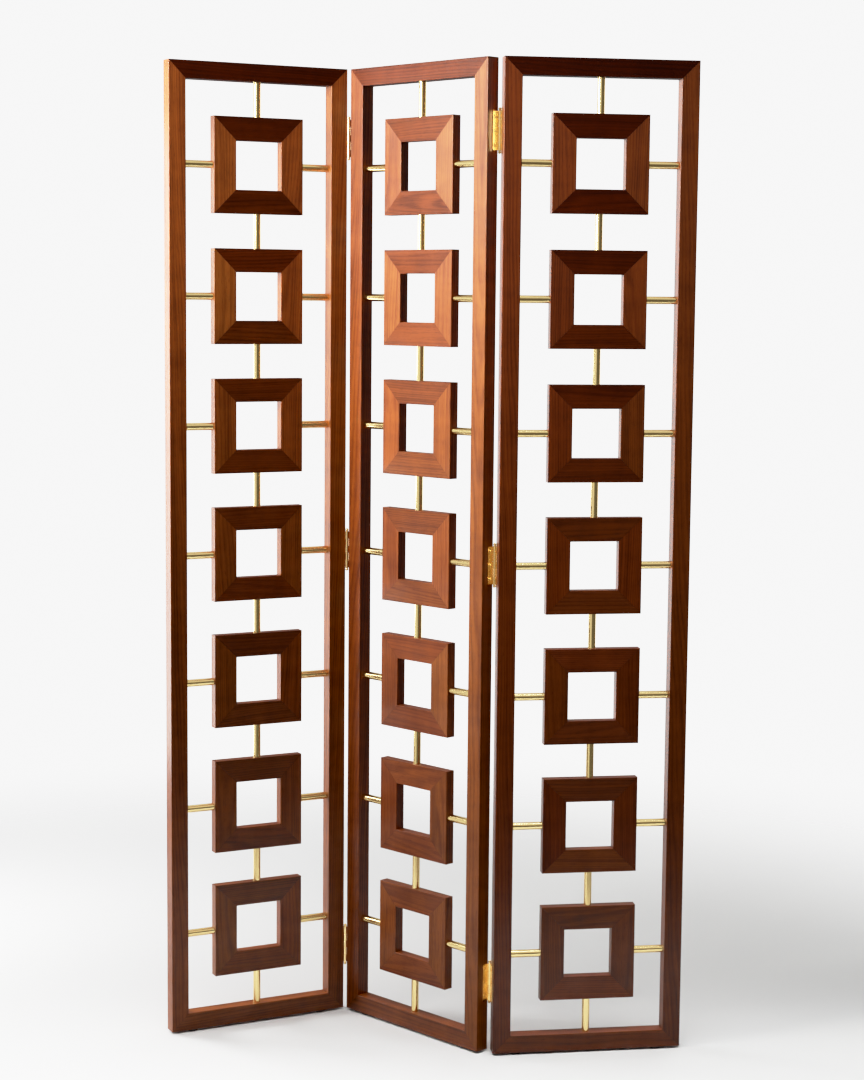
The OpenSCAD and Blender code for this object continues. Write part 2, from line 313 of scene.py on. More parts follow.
# A flat frame lies in X and Y with its back down. This stands it up in the leaf.
upright = moved(0, leaf_t, 0) @ turned(90, "X")

a_vector = "NodeSocketVector"
a_colour = "NodeSocketColor"
a_number = "NodeSocketFloat"


def new_group(name, takes):
    """A shader group for a finish. takes maps a named input to its kind and value. It gives
    the finish's colour, roughness and height."""
    tree = bpy.data.node_groups.new(name, "ShaderNodeTree")
    for label, (kind, value) in takes.items():
        socket = tree.interface.new_socket(label, in_out="INPUT", socket_type=kind)
        socket.default_value = value
    for label, kind in (("Color", a_colour), ("Roughness", a_number), ("Height", a_number)):
        tree.interface.new_socket(label, in_out="OUTPUT", socket_type=kind)
    inputs = tree.nodes.new("NodeGroupInput").outputs
    outputs = tree.nodes.new("NodeGroupOutput").inputs
    return tree, inputs, outputs


def stretched_noise(tree, place, per_metre, detail=2.0, roughness=0.5):
    """Noise that is drawn out along the axes with few waves per metre."""
    scaled = vector_maths(tree, "MULTIPLY", place, per_metre)
    return put(tree, "ShaderNodeTexNoise", {"Vector": scaled, "Scale": 1.0, "Detail": detail,
                                            "Roughness": roughness}).outputs[0]


ring_wander = 0.030
late_season = 1.8
late_wood_dark = 0.18
streak_dark = 0.20
fibre_dark = 0.50
ripple_dark = 0.35
darkest = 1.06
pore_dark = 0.45
glue_start = 0.0002
glue_end = 0.0009
glue_tone = 0.75
fibre_rough = 0.12
pore_rough = 0.10
fibre_height = 0.35
pore_depth = 0.6


def make_board_figure():
    """Wood as sawn, with its grain along X: growth rings round the pith, dark streaks,
    fibres, pores, and the dark line of glue at a mitre."""
    tree, takes, gives = new_group("board_figure", {
        "Sawn from": (a_vector, (0, 0, 0)),
        "Tone and painted shade": (a_vector, (1, 1, 1)),
        "To the mitres": (a_vector, (1, 1, 0)),
        "Pale wood": (a_colour, (0.4, 0.16, 0.06, 1)),
        "Dark wood": (a_colour, (0.1, 0.03, 0.01, 1)),
        "Growth width": (a_number, 0.004),
        "Gloss": (a_number, 0.4),
    })
    place = takes["Sawn from"]
    wander = stretched_noise(tree, place, (1.6, 16, 16))
    from_pith = vector_maths(tree, "MULTIPLY", place, (0, 1, 1))
    radius = vector_maths(tree, "LENGTH", from_pith, result="Value")
    radius = maths(tree, "MULTIPLY_ADD", wander, ring_wander, radius)
    season = maths(tree, "FRACT", maths(tree, "DIVIDE", radius, takes["Growth width"]))
    season = maths(tree, "POWER", season, late_season)
    wave = maths(tree, "COSINE", maths(tree, "MULTIPLY", season, 2 * math.pi))
    late_wood = maths(tree, "MULTIPLY_ADD", wave, -0.5, 0.5)

    along = put(tree, "ShaderNodeSeparateXYZ", {0: place}).outputs
    unrolled = put(tree, "ShaderNodeCombineXYZ", {"X": along[0], "Y": radius, "Z": along[2]})
    streak = stretched_noise(tree, unrolled.outputs[0], (0.7, 95, 6), detail=4, roughness=0.6)
    streak = eased(tree, streak, 0.40, 0.68)
    fibre = stretched_noise(tree, place, (6, 520, 520), detail=3, roughness=0.6)
    ripple = stretched_noise(tree, place, (26, 10, 10))
    pore = eased(tree, stretched_noise(tree, place, (60, 1900, 1900), detail=1), 0.60, 0.70)

    dark = maths(tree, "MULTIPLY", late_wood, late_wood_dark)
    dark = maths(tree, "MULTIPLY_ADD", streak, streak_dark, dark)
    dark = maths(tree, "MULTIPLY_ADD", fibre, fibre_dark, dark)
    dark = maths(tree, "MULTIPLY_ADD", ripple, ripple_dark, dark)
    dark = eased(tree, dark, 0.0, darkest)
    wood = blended(tree, dark, takes["Pale wood"], takes["Dark wood"])
    to_mitre = put(tree, "ShaderNodeSeparateXYZ", {0: takes["To the mitres"]}).outputs
    nearest = maths(tree, "MINIMUM", to_mitre[0], to_mitre[1])
    glue = eased(tree, nearest, glue_start, glue_end, glue_tone, 1.0)
    shade = maths(tree, "MULTIPLY", glue, maths(tree, "MULTIPLY_ADD", pore, -pore_dark, 1.0))
    # The tone holds each board's own tone and the painted shade of its leaf and height.
    toned_and_shaded = vector_maths(tree, "MULTIPLY", wood, takes["Tone and painted shade"])
    colour = put(tree, "ShaderNodeVectorMath", {0: toned_and_shaded, "Scale": shade}, operation="SCALE")
    tree.links.new(colour.outputs[0], gives["Color"])

    rough = maths(tree, "MULTIPLY_ADD", fibre, fibre_rough, takes["Gloss"])
    rough = maths(tree, "MULTIPLY_ADD", pore, pore_rough, rough)
    tree.links.new(rough, gives["Roughness"])
    height = maths(tree, "MULTIPLY", fibre, fibre_height)
    height = maths(tree, "MULTIPLY_ADD", pore, -pore_depth, height)
    tree.links.new(height, gives["Height"])
    return tree


board_figure = make_board_figure()


def new_finish(name, group, values, reads, strength, relief):
    """A material that wears a finish's group: its values, what it reads from the mesh, and
    the strength and height of its relief."""
    material, tree, surface = new_material(name)
    worn = put(tree, "ShaderNodeGroup", values, node_tree=group)
    for label, attribute in reads.items():
        read = put(tree, "ShaderNodeAttribute", attribute_name=attribute)
        tree.links.new(read.outputs["Vector"], worn.inputs[label])
    tree.links.new(worn.outputs["Color"], surface.inputs["Base Color"])
    tree.links.new(worn.outputs["Roughness"], surface.inputs["Roughness"])
    bump = put(tree, "ShaderNodeBump", {"Strength": strength, "Distance": relief,
                                        "Height": worn.outputs["Height"]})
    tree.links.new(bump.outputs[0], surface.inputs["Normal"])
    return material, tree, surface


walnut_pale = (0.36, 0.089, 0.014, 1)
walnut_dark = (0.09, 0.017, 0.0022, 1)
walnut_gloss = 0.40
grain_strength = 0.5
grain_relief = 0.0001
wood_shine = 0.1
fibre_sheen = 0.7
across_the_fibres = 0.25
lacquer = 0.36
lacquer_rough = 0.22


def walnut(name, growth_width):
    """A lacquered walnut whose grain and sheen follow each bar."""
    values = {"Pale wood": walnut_pale, "Dark wood": walnut_dark,
              "Growth width": growth_width, "Gloss": walnut_gloss}
    reads = {"Sawn from": "sawn_from", "Tone and painted shade": "tone_and_painted_shade", "To the mitres": "to_the_mitres"}
    material, tree, surface = new_finish(name, board_figure, values, reads,
                                         grain_strength, grain_relief)
    fibres = put(tree, "ShaderNodeAttribute", attribute_name="grain")
    lie = put(tree, "ShaderNodeVectorTransform", {0: fibres.outputs["Vector"]},
              vector_type="VECTOR", convert_from="OBJECT", convert_to="WORLD")
    tree.links.new(lie.outputs[0], surface.inputs["Tangent"])
    surface.inputs["Specular IOR Level"].default_value = wood_shine
    surface.inputs["Anisotropic"].default_value = fibre_sheen
    surface.inputs["Anisotropic Rotation"].default_value = across_the_fibres
    surface.inputs["Coat Weight"].default_value = lacquer
    surface.inputs["Coat Roughness"].default_value = lacquer_rough
    return material


frame_walnut = walnut("walnut_frame", growth_width=0.0045)


def lathe(profile, steps=48):
    """A turned solid from (radius, height) points. A profile that starts and ends off the
    axis is closed into a ring."""
    made = bmesh.new()
    rings = []
    for radius, height in profile:
        count = steps if radius else 1
        rings.append([made.verts.new((radius * math.cos(2 * math.pi * i / count),
                                      radius * math.sin(2 * math.pi * i / count), height))
                      for i in range(count)])
    pairs = list(zip(rings, rings[1:]))
    if profile[0][0] and profile[-1][0]:
        pairs.append((rings[-1], rings[0]))
    for lower, upper in pairs:
        for i in range(steps):
            corners = [lower[i % len(lower)], lower[(i + 1) % len(lower)],
                       upper[(i + 1) % len(upper)], upper[i % len(upper)]]
            made.faces.new(list(dict.fromkeys(corners)))
    bmesh.ops.recalc_face_normals(made, faces=made.faces)
    return as_mesh(made, "turned")


def round_cutter(radius, low, high):
    """A plain cylinder on the Z axis, for cutting holes."""
    return lathe([(0, low), (radius, low), (radius, high), (0, high)])


def merged(places, mesh):
    """One mesh of copies of another, one at each place."""
    made = bmesh.new()
    for place in places:
        copy = mesh.copy()
        copy.transform(place)
        if place.determinant() < 0:
            copy.flip_normals()
        made.from_mesh(copy)
        bpy.data.meshes.remove(copy)
    return as_mesh(made, "joined")


def carved(mesh, *cuts):
    """A mesh with others cut from it or joined to it, given as ("DIFFERENCE", mesh) pairs."""
    body = bpy.data.objects.new("body", mesh)
    scene.collection.objects.link(body)
    cutters = []
    for operation, shape in cuts:
        cutter = bpy.data.objects.new("cutter", shape)
        scene.collection.objects.link(cutter)
        cutters.append(cutter)
        step = body.modifiers.new("cut", "BOOLEAN")
        step.operation = operation
        step.solver = "EXACT"
        step.object = cutter
    view = bpy.context.evaluated_depsgraph_get()
    result = bpy.data.meshes.new_from_object(body.evaluated_get(view))
    for used in [body, *cutters]:
        bpy.data.objects.remove(used)
    return result


def mitred_bar(length, width, thickness):
    """A bar along X with its outer edge on Y = 0, rounded arrises and mitred ends."""
    corners = [(arris, arris), (width - arris, arris),
               (width - arris, thickness - arris), (arris, thickness - arris)]
    section = []
    for quarter, (y, z) in enumerate(corners):
        for step in range(arris_steps + 1):
            angle = math.radians(180 + 90 * (quarter + step / arris_steps))
            section.append((y + arris * math.cos(angle), z + arris * math.sin(angle)))
    back = glue_line / math.sqrt(2)
    made = bmesh.new()
    start = [made.verts.new((back + y, y, z)) for y, z in section]
    end = [made.verts.new((length - back - y, y, z)) for y, z in section]
    count = len(section)
    for i in range(count):
        made.faces.new([start[i], start[(i + 1) % count], end[(i + 1) % count], end[i]])
    made.faces.new(start)
    made.faces.new(end)
    bmesh.ops.recalc_face_normals(made, faces=made.faces)
    return as_mesh(made, "bar")


cutter_over = 0.001


def socketed(bar, stations, edge, thickness):
    """A bar with blind rod sockets at these stations, in the edge that lies at Y = edge."""
    drill = round_cutter(rod_r + rod_fit, -cutter_over, rod_seat)
    into_the_bar = turned(-90 if edge == 0 else 90, "X")
    places = [moved(x, edge, thickness / 2) @ into_the_bar for x in stations]
    return carved(bar, ("DIFFERENCE", merged(places, drill)))


edge_angle = 35


def finished(piece):
    """Smooth where a surface is round, crisp where it has an edge."""
    piece.data.shade_smooth()
    piece.data.set_sharp_from_angle(angle=math.radians(edge_angle))
    even = piece.modifiers.new("even_shading", "WEIGHTED_NORMAL")
    even.keep_sharp = True
    return piece


def carry(mesh, label, values):
    """Gives a mesh a vector at every point, which its material reads by this label."""
    mesh.attributes.new(label, "FLOAT_VECTOR", "POINT").data.foreach_set("vector", values)


log_stock = 40
nearest_pith = 0.03
furthest_pith = 0.14
grain_slope = 0.035


def board_piece(name, bars, material):
    """One object of several bars. Each bar is (mesh, place, length, width, thickness, tone),
    and carries where in its tree it was sawn, its tone with the painted shade of its leaf and
    height, the way of its grain and its distance to both mitres."""
    points, faces, sawn_from, tones_and_painted_shades, mitres, grain = [], [], [], [], [], []
    for number, (bar, place, length, width, thickness, tone_and_painted_shade) in enumerate(bars):
        chance = random.Random(f"{name} {number}")
        from_tree = (moved(chance.uniform(0, log_stock),
                           chance.uniform(nearest_pith, furthest_pith), 0)
                     @ Matrix.Rotation(chance.uniform(-grain_slope, grain_slope), 4, "Z")
                     @ Matrix.Rotation(chance.uniform(0, 2 * math.pi), 4, "X")
                     @ moved(-length / 2, -width / 2, -thickness / 2))
        first = len(points)
        for vertex in bar.vertices:
            x, y, _ = vertex.co
            points.append(place @ vertex.co)
            sawn_from.extend(from_tree @ vertex.co)
            tones_and_painted_shades.extend(tone_and_painted_shade)
            mitres += [(x - y) / math.sqrt(2), (length - x - y) / math.sqrt(2), 0]
            grain.extend(place.col[0].xyz)
        faces += [[first + i for i in face.vertices] for face in bar.polygons]
    mesh = bpy.data.meshes.new(name)
    mesh.from_pydata(points, [], faces)
    carry(mesh, "sawn_from", sawn_from)
    carry(mesh, "tone_and_painted_shade", tones_and_painted_shades)
    carry(mesh, "to_the_mitres", mitres)
    carry(mesh, "grain", grain)
    return finished(show(name, mesh, material))


def quarter_turn(u, v, quarters):
    """Moves a bar's start to (u, v) in a flat frame and turns it by quarter turns."""
    return moved(u, v, 0) @ turned(90 * quarters, "Z")


# How much of the walnut's colour each leaf's boards keep. This is painted shade: the level bars
# are painted darker than the upright ones, most of all at the top, in place of the shade that
# grain running across the light gives there, and the right leaf, which is lit least, is painted
# darkest. The level bars have one value at the foot and another at the top, and between them it
# goes by height. The upright bars have their own. The spreads say how far one board may differ
# from the next, at random.
painted_level_shades = {
    "left_panel": (1.05, 0.21),
    "middle_panel": (1.05, 0.38),
    "right_panel": (0.78, 0.14),
}
painted_upright_shades = {"left_panel": 1.12, "middle_panel": 0.98, "right_panel": 0.56}
tone_spread = 0.1
gold_spread = 0.1
green_fall = 1.35
blue_fall = 1.6


def board_tone_and_painted_shade(chance, leaf, height=None):
    """The red, green and blue that a board keeps, for an upright bar or a level one at this
    height: a random tone of its own times a painted shade for its leaf and height. Darker boards
    are redder, and some boards are more golden than others."""
    foot, top = painted_level_shades[leaf]
    tone_and_painted_shade = painted_upright_shades[leaf] if height is None else foot + (top - foot) * height / leaf_h
    tone_and_painted_shade *= chance.uniform(1 - tone_spread, 1 + tone_spread)
    gold = chance.uniform(1 - gold_spread, 1 + gold_spread)
    return tone_and_painted_shade, gold * tone_and_painted_shade ** green_fall, gold * tone_and_painted_shade ** blue_fall


stile_bar = socketed(mitred_bar(leaf_h, member_w, leaf_t), ring_middles, member_w, leaf_t)
rail_bar = socketed(mitred_bar(leaf_w, member_w, leaf_t), [leaf_w / 2], member_w, leaf_t)
frame_bars = {
    "left_stile": (stile_bar, quarter_turn(0, leaf_h, -1), leaf_h, None),
    "right_stile": (stile_bar, quarter_turn(leaf_w, 0, 1), leaf_h, None),
    "top_rail": (rail_bar, quarter_turn(leaf_w, leaf_h, 2), leaf_w, leaf_h),
    "bottom_rail": (rail_bar, quarter_turn(0, 0, 0), leaf_w, 0),
}
for leaf in leaf_places:
    for part, (bar, lie, length, height) in frame_bars.items():
        node = f"{leaf}_{part}"
        # A board's tone carries painted shade: darker for level bars high up, and for the right
        # leaf.
        tone_and_painted_shade = board_tone_and_painted_shade(random.Random(f"plank of {node}"), leaf, height)
        place = leaf_places[leaf] @ upright @ lie
        bars = [(bar, place, length, member_w, leaf_t, tone_and_painted_shade)]
        piece = board_piece(f"{node}_walnut", bars, frame_walnut)
        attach(piece, leaf)
        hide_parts(node)


# ---- rings ----
# Seven square rings hang in each leaf. A ring is four mitred walnut bars of 44 x 20 mm,
# glued round its opening, with a rod socket in the middle of every outer edge.
ring_bar_w = 0.044
ring_t = 0.020
ring_left = (leaf_w - ring_size) / 2

ring_walnut = walnut("walnut_rings", growth_width=0.004)
ring_bar = socketed(mitred_bar(ring_size, ring_bar_w, ring_t), [ring_size / 2], 0, ring_t)
ring_back = moved(0, 0, (leaf_t - ring_t) / 2)
corner_of_ring = [(0, 0), (ring_size, 0), (ring_size, ring_size), (0, ring_size)]
for leaf in leaf_places:
    for k, bottom in enumerate(ring_bottoms):
        node = f"{leaf}_block_{k + 1}"
        chance = random.Random(node)
        bars = []
        for quarter, (u, v) in enumerate(corner_of_ring):
            # Level bars take the painted shade for their height, upright bars their leaf's
            # painted shade.
            tone_and_painted_shade = board_tone_and_painted_shade(chance, leaf, None if quarter % 2 else bottom + v)
            lie = quarter_turn(ring_left + u, bottom + v, quarter)
            place = leaf_places[leaf] @ upright @ ring_back @ lie
            bars.append((ring_bar, place, ring_size, ring_bar_w, ring_t, tone_and_painted_shade))
        piece = board_piece(f"{leaf}_ring_{k + 1}", bars, ring_walnut)
        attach(piece, leaf)
        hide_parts(node)


# ---- rods ----
# Round brass rods of 14 mm, satin finished and lacquered, are glued into blind sockets.
# They tie ring to ring, the end rings to the rails, and every ring to both stiles.
rod_end_room = 0.0003
rod_chamfer = 0.0005
rod_sides = 64

speck_dark = 0.12
smudge_rough = 0.12
line_rough = 0.05
line_strength = 0.4
line_depth = 0.0000005
next_piece_on = 0.5


def make_worked_brass():
    """Brass after finishing, with the work along Z: fine lines, soft smudges, small specks
    and a slight darkening."""
    tree, takes, gives = new_group("worked_brass", {
        "Along": (a_vector, (0, 0, 0)),
        "Brass": (a_colour, (0.8, 0.6, 0.3, 1)),
        "Darkened": (a_colour, (0.5, 0.33, 0.13, 1)),
        "Age": (a_number, 0.3),
        "Polish": (a_number, 0.25),
    })
    place = takes["Along"]
    lines = stretched_noise(tree, place, (2500, 2500, 14))
    smudge = stretched_noise(tree, place, (70, 70, 45), detail=3, roughness=0.6)
    speck = eased(tree, stretched_noise(tree, place, (900, 900, 900)), 0.62, 0.74)
    age = maths(tree, "MULTIPLY", eased(tree, smudge, 0.35, 0.75), takes["Age"])
    age = maths(tree, "MULTIPLY_ADD", speck, speck_dark, age)
    tree.links.new(blended(tree, age, takes["Brass"], takes["Darkened"]), gives["Color"])
    rough = maths(tree, "MULTIPLY_ADD", maths(tree, "SUBTRACT", smudge, 0.5), smudge_rough,
                  takes["Polish"])
    rough = maths(tree, "MULTIPLY_ADD", lines, line_rough, rough)
    tree.links.new(rough, gives["Roughness"])
    tree.links.new(lines, gives["Height"])
    return tree


worked_brass = make_worked_brass()


def brass(name, bright, darkened, age, polish):
    """A brass whose finish follows the piece that it is on."""
    values = {"Brass": bright, "Darkened": darkened, "Age": age, "Polish": polish}
    material, _, surface = new_finish(name, worked_brass, values, {"Along": "along"},
                                      line_strength, line_depth)
    surface.inputs["Metallic"].default_value = 1.0
    return material


rod_brass = brass("satin_brass_rod", bright=(0.84, 0.61, 0.26, 1),
                  darkened=(0.55, 0.40, 0.18, 1), age=0.2, polish=0.14)


def turned_piece(name, places, mesh, material):
    """One object of equal pieces, each with its own place along it for the finish."""
    along = []
    for number in range(len(places)):
        for vertex in mesh.vertices:
            along.extend(vertex.co + Vector((0, 0, next_piece_on * number)))
    joined = merged(places, mesh)
    carry(joined, "along", along)
    return finished(show(name, joined, material))


def rod(gap):
    """A rod on the Z axis that bridges a gap above Z = 0 and reaches into both sockets."""
    low = rod_end_room - rod_seat
    high = gap + rod_seat - rod_end_room
    return lathe([(0, low), (rod_r - rod_chamfer, low), (rod_r, low + rod_chamfer),
                  (rod_r, high - rod_chamfer), (rod_r - rod_chamfer, high), (0, high)],
                 rod_sides)


vertical_rod = rod(ring_gap)
side_rod = rod(ring_left - member_w)
lying = turned(90, "Y")
standing_places = [moved(leaf_w / 2, leaf_t / 2, bottom - ring_gap)
                   for bottom in ring_bottoms + [leaf_h - member_w]]
lying_places = [moved(u, leaf_t / 2, middle) @ lying
                for middle in ring_middles for u in (member_w, leaf_w - ring_left)]
for leaf, leaf_place in leaf_places.items():
    for part, mesh, in_leaf in (("vertical_rods", vertical_rod, standing_places),
                                ("side_rods", side_rod, lying_places)):
        places = [leaf_place @ place for place in in_leaf]
        piece = turned_piece(f"{leaf}_{part}_brass", places, mesh, rod_brass)
        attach(piece, leaf)
        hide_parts(f"{leaf}_{part}")


# ---- hinge leaves ----
# Three solid brass butt hinges, 70 mm high, join each pair of leaves. Their plates are
# screwed to the stiles' edges, three knuckles on the middle leaf's side and two on the other.
hinge_count = 3
hinge_h = 0.070
hinge_inset = 0.129
plate_w = 0.0145
plate_t = 0.0014
plate_ease = 0.00015
ease_steps = 2
ease_angle = 50
knuckle_count = 5
barrel_r = 0.0029
knuckle_gap = 0.0003
knuckle_room = 0.0004
pin_r = 0.0015
pin_fit = 0.00005
screw_count = 3
screw_pitch = 0.0255
screw_in = 0.0078
screw_head_r = 0.003
screw_cone = 0.0011
screw_r = 0.0014
screw_fit = 0.0001

knuckle_h = hinge_h / knuckle_count
hinge_step = (leaf_h - 2 * hinge_inset) / (hinge_count - 1)
hinge_brass = brass("hinge_brass", bright=(0.93, 0.65, 0.30, 1),
                    darkened=(0.60, 0.37, 0.14, 1), age=0.45, polish=0.2)

# A hinge stands with its pin on Z and the stile beyond +Y. Each row of hinge leaves has the
# leaf of the screen that it is on, its pin's place there, and how it is turned or mirrored.
middle_right_pin = (leaf_w + pin_side, leaf_t + pin_out)
hinge_lines = {
    "left_panel": ("left_panel", leaf_pins["left_panel"], Matrix.Scale(-1, 4, (1, 0, 0))),
    "middle_panel_left": ("middle_panel", leaf_pins["middle_panel"], Matrix.Identity(4)),
    "middle_panel_right": ("middle_panel", middle_right_pin, turned(180, "Z")),
    "right_panel": ("right_panel", leaf_pins["right_panel"], Matrix.Scale(-1, 4, (0, 1, 0))),
}


def hinge_places(leaf, pin, flip):
    """Where a row's hinges are, from the lowest up."""
    stand = leaf_places[leaf] @ moved(*pin, hinge_inset)
    return [moved(0, 0, i * hinge_step) @ stand @ flip for i in range(hinge_count)]


def knuckle_places(first):
    """Where every second knuckle starts, from the given one up."""
    return [moved(0, 0, k * knuckle_h - hinge_h / 2) for k in range(first, knuckle_count, 2)]


def screw_places():
    """Where a plate's screws sit, with their heads up along Z."""
    below = (screw_count - 1) * screw_pitch / 2
    return [moved(pin_side - plate_t, pin_out + screw_in, j * screw_pitch - below)
            @ turned(-90, "Y") for j in range(screw_count)]


def eased_cylinder(radius, low, high, ease):
    """A round bar on Z with its two rims eased."""
    return lathe([(0, low), (radius - ease, low), (radius, low + ease),
                  (radius, high - ease), (radius - ease, high), (0, high)])


def hinge_leaf(first):
    """A plate with rolled knuckles, cut back round those of the other leaf."""
    plate = bmesh.new()
    bmesh.ops.create_cube(plate, size=1)
    low = (pin_side - plate_t, 0, -hinge_h / 2)
    high = (pin_side, pin_out + plate_w, hinge_h / 2)
    for vertex in plate.verts:
        vertex.co = [high[i] if vertex.co[i] > 0 else low[i] for i in range(3)]
    half_gap = knuckle_gap / 2
    own = eased_cylinder(barrel_r, half_gap, knuckle_h - half_gap, plate_ease)
    clear = round_cutter(barrel_r + knuckle_room, -half_gap, knuckle_h + half_gap)
    bore_end = hinge_h / 2 + cutter_over
    bore = round_cutter(pin_r + pin_fit, -bore_end, bore_end)
    hole_r = screw_r + screw_fit
    rim_r = screw_head_r + screw_fit
    slope = (rim_r - hole_r) / screw_cone
    sink = lathe([(0, -plate_t - cutter_over), (hole_r, -plate_t - cutter_over),
                  (hole_r, -screw_cone), (rim_r + slope * cutter_over, cutter_over),
                  (0, cutter_over)])
    return carved(as_mesh(plate, "plate"),
                  ("UNION", merged(knuckle_places(first), own)),
                  ("DIFFERENCE", merged(knuckle_places(1 - first), clear)),
                  ("DIFFERENCE", bore),
                  ("DIFFERENCE", merged(screw_places(), sink)))


three_knuckles = hinge_leaf(0)
two_knuckles = hinge_leaf(1)
for line, (leaf, pin, flip) in hinge_lines.items():
    mesh = three_knuckles if leaf == "middle_panel" else two_knuckles
    places = hinge_places(leaf, pin, flip)
    piece = turned_piece(f"{line}_butts_brass", places, mesh, hinge_brass)
    ease = piece.modifiers.new("eased_edges", "BEVEL")
    ease.width = plate_ease
    ease.segments = ease_steps
    ease.limit_method = "ANGLE"
    ease.angle_limit = math.radians(ease_angle)
    piece.modifiers.move(1, 0)
    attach(piece, leaf)
    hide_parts(f"{line}_hinge_leaves")


# ---- hinge pins and ball tips ----
# A hard-drawn brass pin hangs in every hinge from its own turned ball. A second ball, with
# the same collar, is pressed on the pin's lower end.
tip_room = 0.0001
tip_h = 0.0062
tip_grip = 0.003
collar_t = 0.0012
collar_ease = 0.0002
ball_r = 0.0029
neck_r = 0.0019
ball_steps = 14
pin_end = hinge_h / 2 + tip_room


def ball_tip():
    """Profile of a collar with a ball on it, from the collar's foot to the ball's top."""
    centre = tip_h - ball_r
    start = math.asin(neck_r / ball_r)
    profile = [(barrel_r - collar_ease, 0), (barrel_r, collar_ease),
               (barrel_r, collar_t - collar_ease), (barrel_r - collar_ease, collar_t),
               (neck_r, collar_t)]
    for step in range(ball_steps + 1):
        angle = start + (math.pi - start) * step / ball_steps
        radius = ball_r * math.sin(angle) if step < ball_steps else 0
        profile.append((radius, centre - ball_r * math.cos(angle)))
    return profile


shaft_end = -pin_end - tip_grip
shaft = [(0, shaft_end), (pin_r - collar_ease, shaft_end),
         (pin_r, shaft_end + collar_ease), (pin_r, pin_end)]
pin_mesh = lathe(shaft + [(radius, pin_end + z) for radius, z in ball_tip()])
grip_r = pin_r + pin_fit
grip_end = shaft_end - tip_room
grip = [(0, grip_end), (grip_r, grip_end), (grip_r, -pin_end)]
tip_mesh = lathe(grip + [(radius, -pin_end - z) for radius, z in ball_tip()])
for side in ("left", "right"):
    places = hinge_places(*hinge_lines[f"middle_panel_{side}"])
    for part, mesh in (("pins", pin_mesh), ("tips", tip_mesh)):
        piece = turned_piece(f"{side}_hinge_{part}_brass", places, mesh, hinge_brass)
        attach(piece, "middle_panel")
        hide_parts(f"{side}_hinge_{part}")


# ---- hinge screws ----
# Brass wood screws with raised countersunk heads, slotted for a blade, three in a plate.
# They are driven into pilot holes in the stiles, and each slot stopped at its own angle.
screw_dome = 0.0007
screw_l = 0.012
screw_point = 2 * screw_r
screw_sides = 32
slot_w = 0.0008
slot_depth = 0.0007
blade_l = 4 * screw_head_r
dome_steps = 6
screw_brass = brass("hinge_screw_brass", bright=(0.92, 0.65, 0.30, 1),
                    darkened=(0.55, 0.34, 0.13, 1), age=0.5, polish=0.2)


def wood_screw():
    """A raised-head screw with its head's rim on Z = 0, and its slot along X."""
    dome_r = (screw_head_r ** 2 + screw_dome ** 2) / (2 * screw_dome)
    widest = math.asin(screw_head_r / dome_r)
    profile = [(0, -screw_l), (screw_r, -screw_l + screw_point), (screw_r, -screw_cone),
               (screw_head_r, 0)]
    for step in range(1, dome_steps + 1):
        angle = widest * (1 - step / dome_steps)
        radius = dome_r * math.sin(angle) if step < dome_steps else 0
        profile.append((radius, screw_dome - dome_r * (1 - math.cos(angle))))
    blade = bmesh.new()
    bmesh.ops.create_cube(blade, size=1)
    bmesh.ops.scale(blade, vec=(blade_l, slot_w, 2 * slot_depth), verts=blade.verts)
    bmesh.ops.translate(blade, vec=(0, 0, screw_dome), verts=blade.verts)
    return carved(lathe(profile, screw_sides), ("DIFFERENCE", as_mesh(blade, "blade")))


screw_mesh = wood_screw()
for line, (leaf, pin, flip) in hinge_lines.items():
    chance = random.Random(line)
    places = [hinge @ screw @ Matrix.Rotation(chance.uniform(0, math.pi), 4, "Z")
              for hinge in hinge_places(leaf, pin, flip) for screw in screw_places()]
    piece = turned_piece(f"{line}_screws_brass", places, screw_mesh, screw_brass)
    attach(piece, leaf)
    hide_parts(f"{line}_hinge_screws")


# ---- glides ----
# Two round black nylon glides under each bottom rail keep the wood off the floor. A steel
# nail through the middle of each holds it, with its head in a recess.
glide_r = 0.011
glide_bevel = 0.001
glide_ease = glide_bevel / 3
glide_inset = 0.045
recess_r = 0.004
recess_h = 0.0015
recess_top = recess_h - foot_h
nail_head_r = 0.00325
nail_head_t = 0.0008
nail_head_ease = 0.0003
nail_r = 0.0012
nail_point = 2 * nail_r
nail_l = 0.014
nail_fit = 0.00005
nail_hole_r = nail_r + nail_fit

skin_strength = 0.3
skin_relief = 0.00003
scuff_pale = 0.5
scuff_smooth = 0.1


def make_moulded_skin():
    """A moulded or plated skin: a fine grain with faint scuffs."""
    tree, takes, gives = new_group("moulded_skin", {
        "Colour": (a_colour, (0.02, 0.02, 0.02, 1)),
        "Scuffed": (a_colour, (0.1, 0.1, 0.1, 1)),
        "Sheen": (a_number, 0.5),
    })
    place = put(tree, "ShaderNodeTexCoord").outputs["Object"]
    grain = stretched_noise(tree, place, (1400, 1400, 1400))
    scuff = stretched_noise(tree, place, (160, 160, 420), detail=3, roughness=0.6)
    scuff = eased(tree, scuff, 0.52, 0.75)
    shown = maths(tree, "MULTIPLY", scuff, scuff_pale)
    tree.links.new(blended(tree, shown, takes["Colour"], takes["Scuffed"]), gives["Color"])
    rough = maths(tree, "MULTIPLY_ADD", scuff, -scuff_smooth, takes["Sheen"])
    tree.links.new(rough, gives["Roughness"])
    tree.links.new(grain, gives["Height"])
    return tree


moulded_skin = make_moulded_skin()


def skinned(name, colour, scuffed, sheen, metallic):
    """A plain finish with a grain, for the small parts under the leaves."""
    values = {"Colour": colour, "Scuffed": scuffed, "Sheen": sheen}
    material, _, surface = new_finish(name, moulded_skin, values, {}, skin_strength, skin_relief)
    surface.inputs["Metallic"].default_value = metallic
    return material


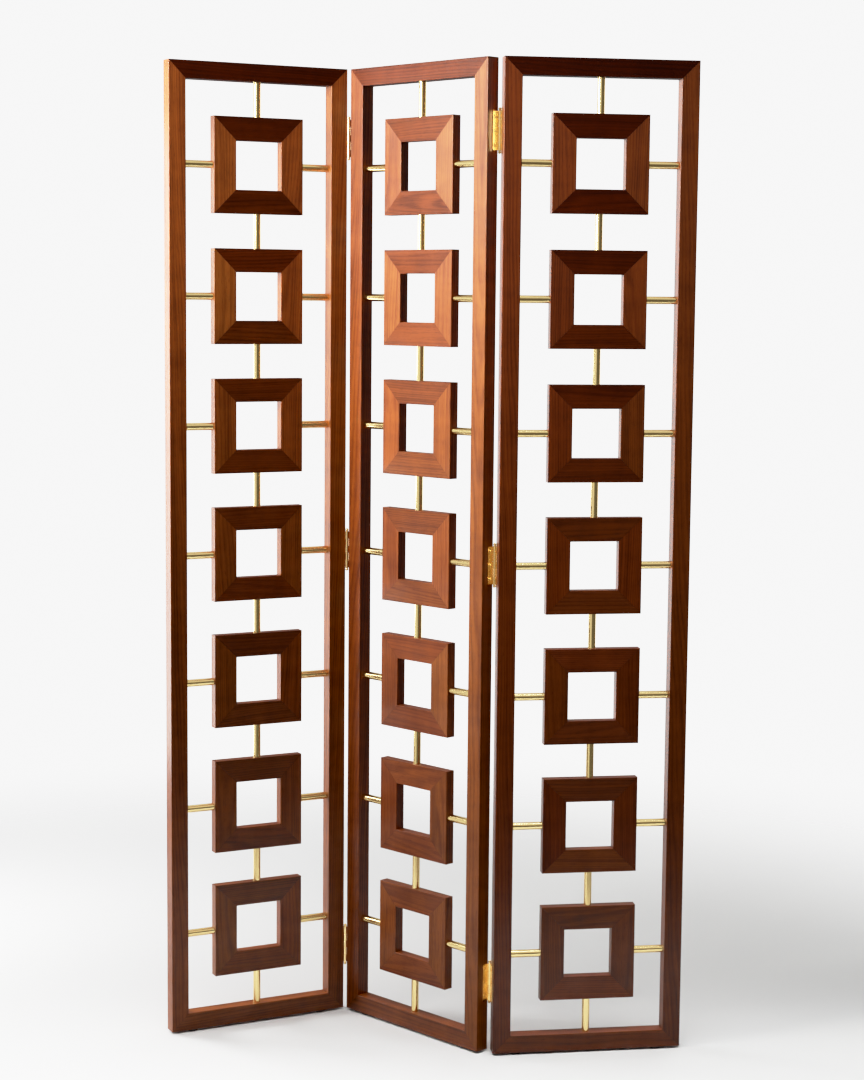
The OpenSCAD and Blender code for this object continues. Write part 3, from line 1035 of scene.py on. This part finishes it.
black_nylon = skinned("black_glide", colour=(0.018, 0.017, 0.017, 1),
                      scuffed=(0.09, 0.085, 0.08, 1), sheen=0.5, metallic=0.0)
nail_steel = skinned("nail_steel", colour=(0.55, 0.55, 0.54, 1),
                     scuffed=(0.35, 0.33, 0.3, 1), sheen=0.4, metallic=1.0)
glide_mesh = lathe([(nail_hole_r, 0), (nail_hole_r, recess_top), (recess_r, recess_top),
                    (recess_r, -foot_h), (glide_r - glide_bevel, -foot_h),
                    (glide_r, glide_bevel - foot_h), (glide_r, -glide_ease),
                    (glide_r - glide_ease, 0)])
nail_mesh = lathe([(0, recess_top - nail_head_t),
                   (nail_head_r - nail_head_ease, recess_top - nail_head_t),
                   (nail_head_r, recess_top - nail_head_t / 2), (nail_head_r, recess_top),
                   (nail_r, recess_top), (nail_r, nail_l - nail_point), (0, nail_l)])
for leaf, leaf_place in leaf_places.items():
    places = [leaf_place @ moved(u, leaf_t / 2, 0) for u in (glide_inset, leaf_w - glide_inset)]
    for part, mesh, material, slot in (("feet", glide_mesh, black_nylon, "black_glide"),
                                       ("foot_nails", nail_mesh, nail_steel, "nail_steel")):
        piece = turned_piece(f"{leaf}_{part}_turned", places, mesh, material)
        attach(piece, leaf)
        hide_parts(f"{leaf}_{part}")


# ---- mitre keys ----
# Loose keys of raw maple, glued across every mitre of the frames and rings. They are
# hidden in the joints and keep the shape that they were cut to.
maple = {"Pale wood": (0.62, 0.44, 0.26, 1), "Dark wood": (0.45, 0.28, 0.14, 1),
         "Growth width": 0.002, "Gloss": 0.6}
key_maple, tree, surface = new_material("key_wood")
figured = put(tree, "ShaderNodeGroup", maple, node_tree=board_figure)
spot = put(tree, "ShaderNodeTexCoord").outputs["Object"]
tree.links.new(spot, figured.inputs["Sawn from"])
tree.links.new(figured.outputs["Color"], surface.inputs["Base Color"])
tree.links.new(figured.outputs["Roughness"], surface.inputs["Roughness"])
for leaf in leaf_places:
    keys = frame["nodes"][f"{leaf}_mitre_keys"]
    keys.data.materials.clear()
    keys.data.materials.append(key_maple)
